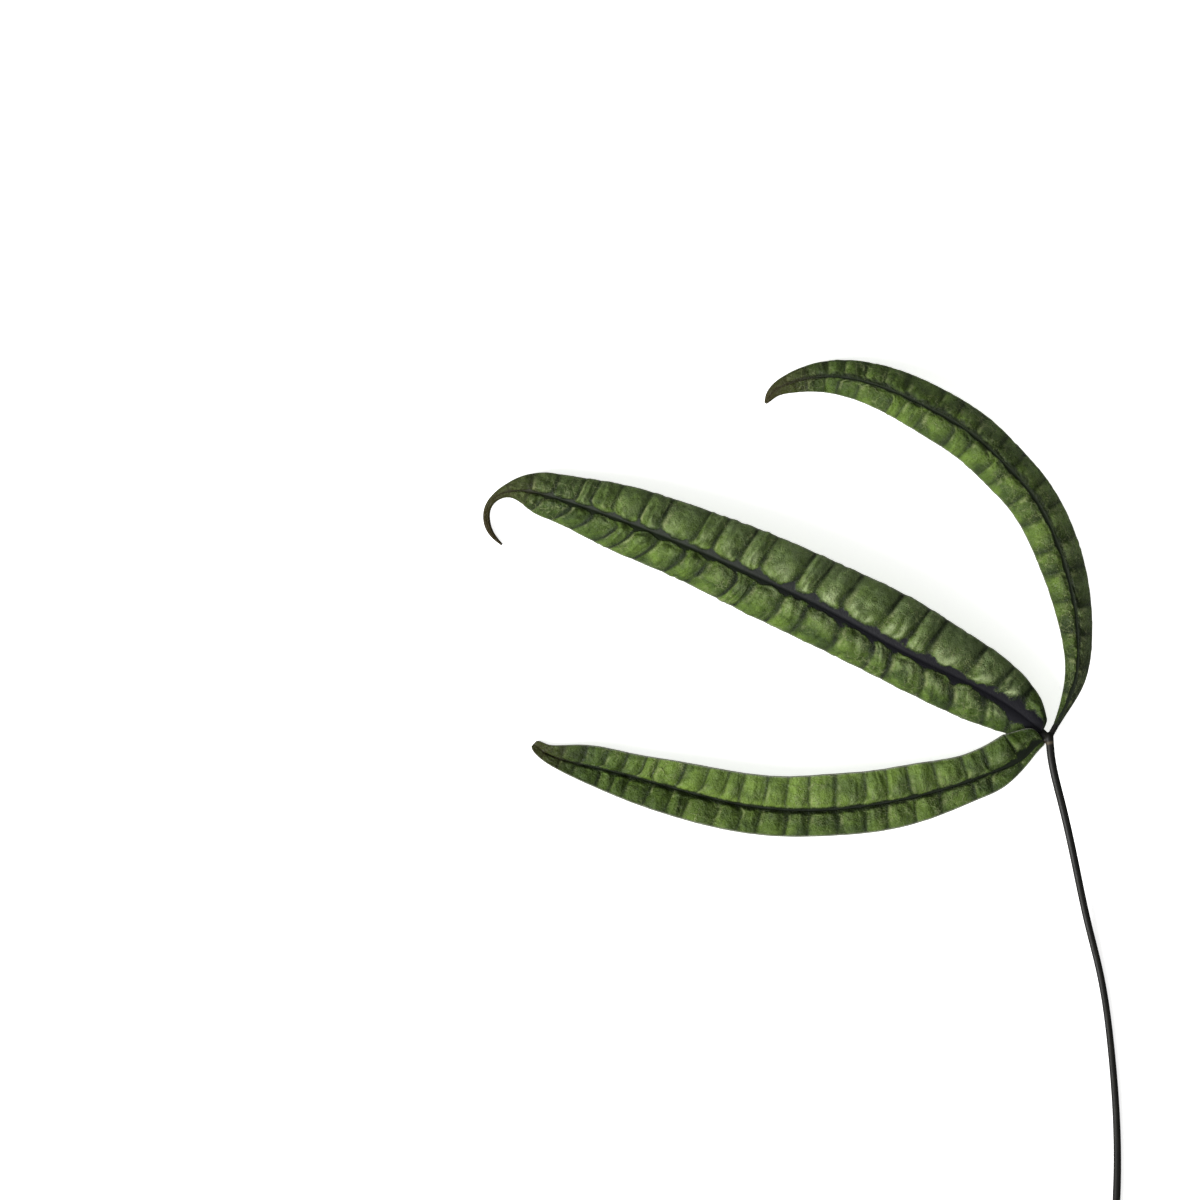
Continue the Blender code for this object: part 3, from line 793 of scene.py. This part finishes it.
def blade_piece(leaflet, settings, tree, coat):
    """A leaflet's fine blade: the puckered upper face, its lower face, and a rounded rim between them."""
    blade = Blade(leaflet)
    panels = np.arange(leaflet.panels * PANEL_POINTS + 1) / PANEL_POINTS
    columns = np.array(sorted([*panels, *BASE_COLUMNS, *blade.tip_columns()]))
    rows = np.linspace(-MARGIN_SHARE, MARGIN_SHARE, 2 * HALF_POINTS + 1)
    panel, share = np.meshgrid(columns, rows, indexing="ij")
    smooth = blade.place(panel, share) + KNUCKLE
    swell = blade.puff(panel, share)
    off_channel = ease(*WRINKLE_LIP, np.abs(share) / blade.lobe_edge(panel))
    wrinkled = leaflet.wrinkles * off_channel * ease(*WRINKLE_SPAN, swell / leaflet.puff)
    across = share * blade.widest * WEAVE_ACROSS
    flat = np.zeros(panel.shape)
    weave = np.stack([blade.along(panel), across, flat], axis=-1) * MM
    parted = np.stack([blade.along(panel), np.sign(share) * WEAVE_GAP + across, flat], axis=-1) * MM
    sheet = sheet_object(leaflet.piece, smooth, {"swell": swell * MM, "wrinkled": wrinkled, "weave": parted})
    values = {size: getattr(settings, size.lower().replace(" ", "_")) for size in PUCKER_SIZES}
    values |= {"Seed": settings.seed + leaflet.seed, "Material": coat}
    puckered = run_tree(sheet, tree, values)
    upper = points_of(puckered).reshape(smooth.shape)
    bpy.data.meshes.remove(puckered)
    depth = blade_depth(blade, panel, share, upper, settings)
    lower = upper - grid_normals(smooth) * depth[:, :, None]
    masks = {name: round_section(values) for name, values in blade_masks(blade, panel, share).items()}
    masks["weave"] = round_section(weave)
    masks["under"] = np.zeros(masks["rim"].shape)
    masks["under"][:, len(rows) + RIM_STEPS : 2 * len(rows) + RIM_STEPS] = 1
    mesh = closed_mesh(leaflet.piece, closed_rings(upper, lower), masks)
    mesh.materials.append(coat)
    return placed(leaflet.piece, mesh)


def new_material(name):
    """A material with its Principled shader, and its node tree."""
    made = bpy.data.materials.new(name)
    made.use_nodes = True
    return made, made.node_tree, made.node_tree.nodes["Principled BSDF"]


def finish(tree, shader, tone, rough, gloss, bump):
    """Sets a shader's colour, roughness, gloss and relief."""
    normal = add_node(tree, "ShaderNodeBump", bump).outputs["Normal"]
    looks = {"Base Color": tone, "Roughness": rough, "Specular IOR Level": gloss, "Normal": normal}
    fill(tree, shader, looks)


def mask(tree, name, strength=None):
    """A value stored on the mesh's points, for a material, weakened by a strength if there is one."""
    value = add_node(tree, "ShaderNodeAttribute", attribute_name=name).outputs["Fac"]
    return value if strength is None else times(tree, value, strength)


def blend(tree, share, first, second):
    """A colour between two, each a colour or a socket, by a share from 0 to 1."""
    inputs = {0: share}
    for key, tone in ((6, first), (7, second)):
        inputs[key] = tone if isinstance(tone, bpy.types.NodeSocket) else (*tone, 1.0)
    return add_node(tree, "ShaderNodeMix", inputs, data_type="RGBA").outputs[2]


def spread(tree, value, low, high, to_low=0.0, to_high=1.0):
    """A value stretched from one range to another, and held inside it."""
    inputs = {"Value": value, 1: low, 2: high, 3: to_low, 4: to_high}
    return add_node(tree, "ShaderNodeMapRange", inputs).outputs["Result"]


def pattern(tree, vector, row, to_low=0.0, to_high=1.0):
    """A noise by a row of the patterns' table, stretched from one value to another."""
    low, high = row[-2:]
    inputs = {"Vector": vector, **dict(zip(("Scale", "Detail", "Roughness", "Distortion"), row))}
    value = add_node(tree, "ShaderNodeTexNoise", inputs).outputs["Fac"]
    return spread(tree, value, low, high, to_low, to_high)


def cells(tree, vector, scale, waver):
    """Distance to the edges of cells, whose edges wander by up to waver."""
    if waver:
        shift = add_node(tree, "ShaderNodeTexNoise", {"Vector": vector, "Scale": WAVER_SCALE, "Detail": 2.0})
        inputs = {0: shift.outputs["Color"], 1: (waver, waver, waver), 2: vector}
        vector = add_node(tree, "ShaderNodeVectorMath", inputs, operation="MULTIPLY_ADD").outputs["Vector"]
    inputs = {"Vector": vector, "Scale": scale}
    edges = add_node(tree, "ShaderNodeTexVoronoi", inputs, feature="DISTANCE_TO_EDGE")
    return edges.outputs["Distance"]


def blade_material(settings):
    """Green puckered blade: dark veins, a glossy dark channel, mottled panels, pale rim and brown tip, with
    painted highlights, sheen and shade.
    """
    made, tree, shader = new_material("leaflet blade")
    place = add_node(tree, "ShaderNodeTexCoord").outputs["Object"]
    weave = add_node(tree, "ShaderNodeAttribute", attribute_name="weave").outputs["Vector"]

    # The patterns on the whole blade
    mottle = pattern(tree, place, MOTTLE)
    grain = pattern(tree, place, GRAIN)
    streak = pattern(tree, weave, STREAK)
    blotch = pattern(tree, place, BLOTCH)
    net = spread(tree, cells(tree, place, NET_SCALE, 0.0), 0.0, 0.12)
    ragged = pattern(tree, place, RAGGED, -0.45, 0.45)

    # The marks in their own places, among them painted highlights and painted shade
    # Painted highlight on the panels' ends beside the rib, broken up by the streaks and blotches
    crest_highlight_share = mask(tree, "crest_highlights", spread(tree, streak, 0.2, 0.8, 0.15, 1.0))
    crest_highlight_share = times(tree, crest_highlight_share, spread(tree, blotch, 0.0, 1.0, 0.35, 1.0))
    thread = spread(tree, cells(tree, place, THREAD_SCALE, THREAD_WAVER), 0.05, 0.0)
    thread = times(tree, times(tree, thread, pattern(tree, place, PATCH)), 0.4)
    speck = mask(tree, "glints", pattern(tree, place, SPECK))
    # Painted shade in the troughs over the side veins; on the lower face the same mask marks the pale veins
    groove = mask(tree, "groove", pattern(tree, place, UNEVEN, 0.35, 1.0))
    # Painted shadow along the rib, with ragged edges
    seam = spread(tree, plus(tree, mask(tree, "seam"), ragged), 0.7, 1.5, 0.9, 0.0)
    channel = spread(tree, plus(tree, mask(tree, "lip"), ragged), 0.75, 1.1, 1.0, 0.0)
    # The troughs' colour, for the grain and for the painted shade
    trough = settings.trough_colour
    dusky = blend(tree, mask(tree, "dusky"), trough, settings.channel_colour)

    # The upper face, one layer over the other, with painted highlights, sheen and shade among the layers
    green = blend(tree, mottle, settings.panel_colour, settings.bright_colour)
    layers = [
        (mask(tree, "dull", 0.55), settings.panel_colour),
        (spread(tree, grain, 0.0, 0.5, 0.35, 0.0), trough),
        (spread(tree, streak, 0.0, 0.5, 0.5, 0.0), trough),
        (spread(tree, net, 0.0, 1.0, 0.18, 0.0), trough),
        (mask(tree, "sunny", spread(tree, mottle, 0.0, 1.0, 0.3, 0.9)), settings.sunny_colour),
        (mask(tree, "shaded", 0.75), settings.shade_colour),
        # Painted sheen over the outer part of a half
        (mask(tree, "painted_sheen", spread(tree, blotch, 0.0, 1.0, 0.5, 1.1)), settings.painted_sheen_colour),
        # Painted shade on each panel's base side
        (mask(tree, "lee_shade", 0.45), trough),
        (crest_highlight_share, settings.crest_highlight_colour),
        # Painted shade on the panels' sides near the troughs
        (mask(tree, "flank_shade", spread(tree, grain, 0.0, 1.0, 0.1, 0.5)), trough),
        (thread, settings.thread_colour),
        (times(tree, speck, 0.7), settings.thread_colour),
        # Pale hems: partly pale vein, partly painted highlight on the lit flank
        (mask(tree, "pale_hem_and_highlight", spread(tree, blotch, 0.2, 1.0, 0.0, 0.6)), settings.thread_colour),
        (groove, trough),
        (seam, trough),
        (channel, dusky),
        (mask(tree, "rim", 0.85), settings.rim_colour),
    ]
    for share, tone in layers:
        green = blend(tree, share, green, tone)

    # The lower face with its veins, and the drying tip on both
    vein = math_node(tree, "MAXIMUM", channel, math_node(tree, "POWER", groove, 2.0))
    below = blend(tree, vein, settings.underside_colour, settings.vein_colour)
    both = blend(tree, mask(tree, "under"), green, below)
    both = blend(tree, mask(tree, "tip"), both, settings.tip_colour)

    # The sheen and the fine relief
    rough = math_node(tree, "MAXIMUM", spread(tree, grain, 0.0, 1.0, 0.18, 0.46), times(tree, channel, 0.5))
    height = plus(tree, times(tree, net, 0.3), grain)
    height = plus(tree, times(tree, thread, 1.5), height)
    height = plus(tree, speck, height)
    height = times(tree, height, spread(tree, channel, 0.0, 1.0, 1.0, 0.15))
    bump = {"Height": height, "Strength": 1.0, "Distance": 0.0003}
    finish(tree, shader, both, rough, 0.16, bump)
    return made


def stalk_material(settings):
    """Near-black skin with fine streaks, a brown collar at the knuckle and a pale cut end."""
    made, tree, shader = new_material("stalk skin")
    grain = add_node(tree, "ShaderNodeAttribute", attribute_name="grain").outputs["Vector"]
    place = add_node(tree, "ShaderNodeTexCoord").outputs["Object"]
    streak = pattern(tree, grain, SKIN_STREAK)
    fleck = pattern(tree, place, FLECK, 0.5, 1.0)
    skin = blend(tree, streak, settings.skin_colour, settings.streak_colour)
    skin = blend(tree, mask(tree, "collar"), skin, settings.collar_colour)
    skin = blend(tree, mask(tree, "cut", fleck), skin, settings.cut_colour)
    rough = spread(tree, streak, 0.0, 1.0, 0.42, 0.6)
    bump = {"Height": streak, "Strength": 0.3, "Distance": 0.0001}
    finish(tree, shader, skin, rough, 0.2, bump)
    return made


def stem_tree():
    """A tube along a curve, as thick as the curve's own radius, with filled ends."""
    tree, given = new_tree("Stem", [("Sides", "NodeSocketInt"), ("Material", "NodeSocketMaterial")])
    inputs = {"Resolution": given.outputs["Sides"], "Radius": 1.0}
    circle = add_node(tree, "GeometryNodeCurvePrimitiveCircle", inputs).outputs["Curve"]
    radius = add_node(tree, "GeometryNodeInputRadius").outputs[0]
    inputs = {"Curve": given.outputs["Geometry"], "Profile Curve": circle, "Scale": radius, "Fill Caps": True}
    tube = add_node(tree, "GeometryNodeCurveToMesh", inputs)
    end_tree(tree, given, tube.outputs["Mesh"])
    return tree


def curve_object(points, radii):
    """A curve of straight pieces through points, in millimetres, with a radius at each."""
    curve = bpy.data.curves.new("stem", "CURVE")
    curve.dimensions = "3D"
    line = curve.splines.new("POLY")
    line.points.add(len(points) - 1)
    for spot, point, radius in zip(line.points, points, radii):
        spot.co = (*(np.asarray(point) * MM), 1.0)
        spot.radius = radius * MM
    return placed("stem", curve)


def stalk_line():
    """Points along the middle of the stalk, and its radius at each."""
    runs = run_of(STALK_PATH)
    shares = np.linspace(0, 1, STALK_POINTS)
    radii = np.where(
        shares < 0.5,
        mixed(STALK_RADII[:2], ease(0, 0.5, shares)),
        mixed(STALK_RADII[1:], ease(0.5, 1, shares)),
    )
    points = spline(runs, STALK_PATH)(shares * runs[-1])
    points[:, 2] = points[:, 2].clip(0) + radii
    return points + KNUCKLE, radii


def foot_line(leaflet):
    """Points from the knuckle along the underside of a leaflet's rib, and the foot's radius at each."""
    blade = Blade(leaflet)
    reach = np.linspace(0, FOOT_REACH, FOOT_POINTS)
    under = blade.rib(reach) - np.array([0, 0, KEEL_DEPTHS[0] / 2 + FOOT_DROP])
    start = np.array([0, 0, KNUCKLE_HEIGHT])
    first = [start + (under[0] - start) * share for share in FOOT_SHARES]
    thinner = FOOT_RADIUS * (1 - FOOT_TAPER * ease(0, FOOT_REACH, reach))
    radii = np.concatenate([[FOOT_RADIUS] * len(first), thinner])
    return np.array([*first, *under]) + KNUCKLE, radii


def swelling_object(place, radii):
    """A ball stretched to its radii, at a place beside the middle of the knuckle."""
    ball = bmesh.new()
    bmesh.ops.create_icosphere(ball, subdivisions=4, radius=1)
    for vertex in ball.verts:
        grown = np.array(vertex.co) * radii + place + (0, 0, KNUCKLE_HEIGHT)
        vertex.co = Vector((grown + KNUCKLE) * MM)
    mesh = bpy.data.meshes.new("knuckle")
    ball.to_mesh(mesh)
    ball.free()
    return placed("knuckle", mesh)


def skinned(meshes, voxel):
    """One closed skin over several overlapping meshes."""
    joined = bmesh.new()
    for mesh in meshes:
        joined.from_mesh(mesh)
        bpy.data.meshes.remove(mesh)
    mesh = bpy.data.meshes.new("stalk")
    joined.to_mesh(mesh)
    joined.free()
    thing = placed("stalk", mesh)
    remesh = thing.modifiers.new("skin", "REMESH")
    remesh.mode = "VOXEL"
    remesh.voxel_size = voxel
    smooth = thing.modifiers.new("even", "SMOOTH")
    smooth.factor = 0.5
    smooth.iterations = 3
    return evaluated_mesh(thing)


def stalk_masks(mesh, line, radii):
    """Where the stalk's streaks, collar and cut end lie on its points."""
    points = points_of(mesh)
    runs = run_of(line)
    nearest = np.array([np.argmin(((line - point) ** 2).sum(axis=1)) for point in points])
    out = points - line[nearest]
    grain = np.column_stack([out[:, 0], out[:, 2], runs[nearest] * STREAK_STRETCH]) * MM
    from_knuckle = np.linalg.norm(points - (KNUCKLE + (0, 0, KNUCKLE_HEIGHT)), axis=1)
    end = line[-1] - line[-2]
    past_end = (points - line[-1]) @ (end / np.linalg.norm(end))
    off_middle = np.linalg.norm(points - line[-1], axis=1) / radii[-1]
    cut = ease(*CUT_DEPTH, past_end) * fade(*CUT_EDGE, off_middle)
    collar = ease(*COLLAR_START, from_knuckle) * fade(*COLLAR_END, from_knuckle) * COLLAR_STRENGTH
    collar *= points[:, 1] < KNUCKLE[1] - 1
    store(mesh, {"grain": grain, "cut": cut, "collar": collar})


def ride_root(piece, node):
    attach(piece, "root")
    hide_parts(node)


class LEAF_OT_leaflets(Operator):
    """Build the three puckered blades in place of their solids"""

    bl_idname = "leaf.leaflets"
    bl_label = "Leaflets"

    def execute(self, context):
        settings = context.scene.leaf_blade
        coat = blade_material(settings)
        tree = pucker_tree()
        for leaflet in LEAFLETS:
            piece = blade_piece(leaflet, settings, tree, coat)
            ride_root(piece, leaflet.node)
        return {"FINISHED"}


class LEAF_OT_stalk(Operator):
    """Build the stalk with its knuckle and the feet that carry the leaflets"""

    bl_idname = "leaf.stalk"
    bl_label = "Stalk"

    def execute(self, context):
        settings = context.scene.leaf_stalk
        coat = stalk_material(settings)
        tree = stem_tree()
        line, radii = stalk_line()
        stems = [(line, radii), *(foot_line(leaflet) for leaflet in LEAFLETS)]
        values = {"Sides": STALK_SIDES, "Material": coat}
        meshes = [run_tree(curve_object(*stem), tree, values) for stem in stems]
        meshes.append(evaluated_mesh(swelling_object((0, 0, 0), KNUCKLE_RADII)))
        meshes.append(evaluated_mesh(swelling_object(FORK_PLACE, FORK_RADII)))
        mesh = skinned(meshes, settings.voxel)
        stalk_masks(mesh, line, radii)
        mesh.materials.clear()
        mesh.materials.append(coat)
        mesh.shade_smooth()
        piece = placed("stalk_skin", mesh)
        ride_root(piece, "stalk")
        return {"FINISHED"}


class LEAF_OT_stage(Operator):
    """Set the pale floor, the soft light and the camera that looks straight down"""

    bl_idname = "leaf.stage"
    bl_label = "Stage"

    def execute(self, context):
        settings = context.scene.leaf_stage
        self.floor(settings)
        self.light(context.scene, settings)
        self.camera(context.scene)
        return {"FINISHED"}

    def floor(self, settings):
        mesh = bpy.data.meshes.new("floor")
        corners = [(x * FLOOR_REACH, y * FLOOR_REACH, 0) for x, y in ((-1, -1), (1, -1), (1, 1), (-1, 1))]
        mesh.from_pydata(corners, [], [(0, 1, 2, 3)])
        made, tree, shader = new_material("pale floor")
        looks = {
            "Base Color": (*settings.floor_colour, 1.0),
            "Roughness": 0.9,
            "Specular IOR Level": 0.1,
            "Emission Color": (1.0, 1.0, 1.0, 1.0),
            "Emission Strength": settings.floor_glow,
        }
        fill(tree, shader, looks)
        mesh.materials.append(made)
        floor = placed("floor", mesh)
        floor.visible_glossy = False

    def light(self, scene, settings):
        towards_key = Vector(KEY_DIRECTION).normalized()
        world = bpy.data.worlds.new("studio")
        world.use_nodes = True
        tree = world.node_tree
        way = add_node(tree, "ShaderNodeTexCoord").outputs["Generated"]
        facing = add_node(tree, "ShaderNodeVectorMath", {0: way, 1: towards_key}, operation="DOT_PRODUCT")
        dim, bright = (share * settings.sky_light for share in SKY_SHARES)
        strength = spread(tree, facing.outputs["Value"], *SKY_SPAN, dim, bright)
        fill(tree, tree.nodes["Background"], {"Color": (1.0, 1.0, 1.0, 1.0), "Strength": strength})
        scene.world = world
        scene.view_settings.view_transform = "Standard"
        lamp = bpy.data.lights.new("key", "SUN")
        lamp.energy = settings.key_light
        lamp.angle = math.radians(KEY_ANGLE)
        key = placed("key", lamp)
        key.rotation_euler = towards_key.to_track_quat("Z", "Y").to_euler()

    def camera(self, scene):
        lens = bpy.data.cameras.new("camera")
        lens.clip_end = 100
        lens.lens = lens.sensor_width * (CAMERA_DISTANCE - LEAF_HEIGHT * MM) / (PHOTO_SIZE * PIXEL * MM)
        camera = placed("camera", lens)
        middle = PHOTO_SIZE / 2
        across = KNUCKLE[0] + (middle - KNUCKLE_PIXEL[0]) * PIXEL
        up = KNUCKLE[1] + (KNUCKLE_PIXEL[1] - middle) * PIXEL
        camera.location = (across * MM, up * MM, CAMERA_DISTANCE)
        scene.camera = camera


class LEAF_PT_panel(Panel):
    """The operators in their order, and the sizes and colours that they use"""

    bl_idname = "LEAF_PT_panel"
    bl_label = "Anthurium Leaf"
    bl_space_type = "VIEW_3D"
    bl_region_type = "UI"
    bl_category = "Leaf"

    def draw(self, context):
        for operator in (LEAF_OT_leaflets, LEAF_OT_stalk, LEAF_OT_stage):
            self.layout.operator(operator.bl_idname)
        for group in SETTINGS:
            settings = getattr(context.scene, group)
            box = self.layout.box()
            for name in settings.__annotations__:
                box.prop(settings, name)


CLASSES = (
    BladeSettings,
    StalkSettings,
    StageSettings,
    LEAF_OT_leaflets,
    LEAF_OT_stalk,
    LEAF_OT_stage,
    LEAF_PT_panel,
)
SETTINGS = {"leaf_blade": BladeSettings, "leaf_stalk": StalkSettings, "leaf_stage": StageSettings}


def register():
    for each in CLASSES:
        bpy.utils.register_class(each)
    for name, group in SETTINGS.items():
        setattr(bpy.types.Scene, name, PointerProperty(type=group))


def unregister():
    for name in SETTINGS:
        delattr(bpy.types.Scene, name)
    for each in reversed(CLASSES):
        bpy.utils.unregister_class(each)


def main():
    register()
    bpy.ops.leaf.leaflets()
    bpy.ops.leaf.stalk()
    bpy.ops.leaf.stage()


if __name__ == "__main__":
    main()
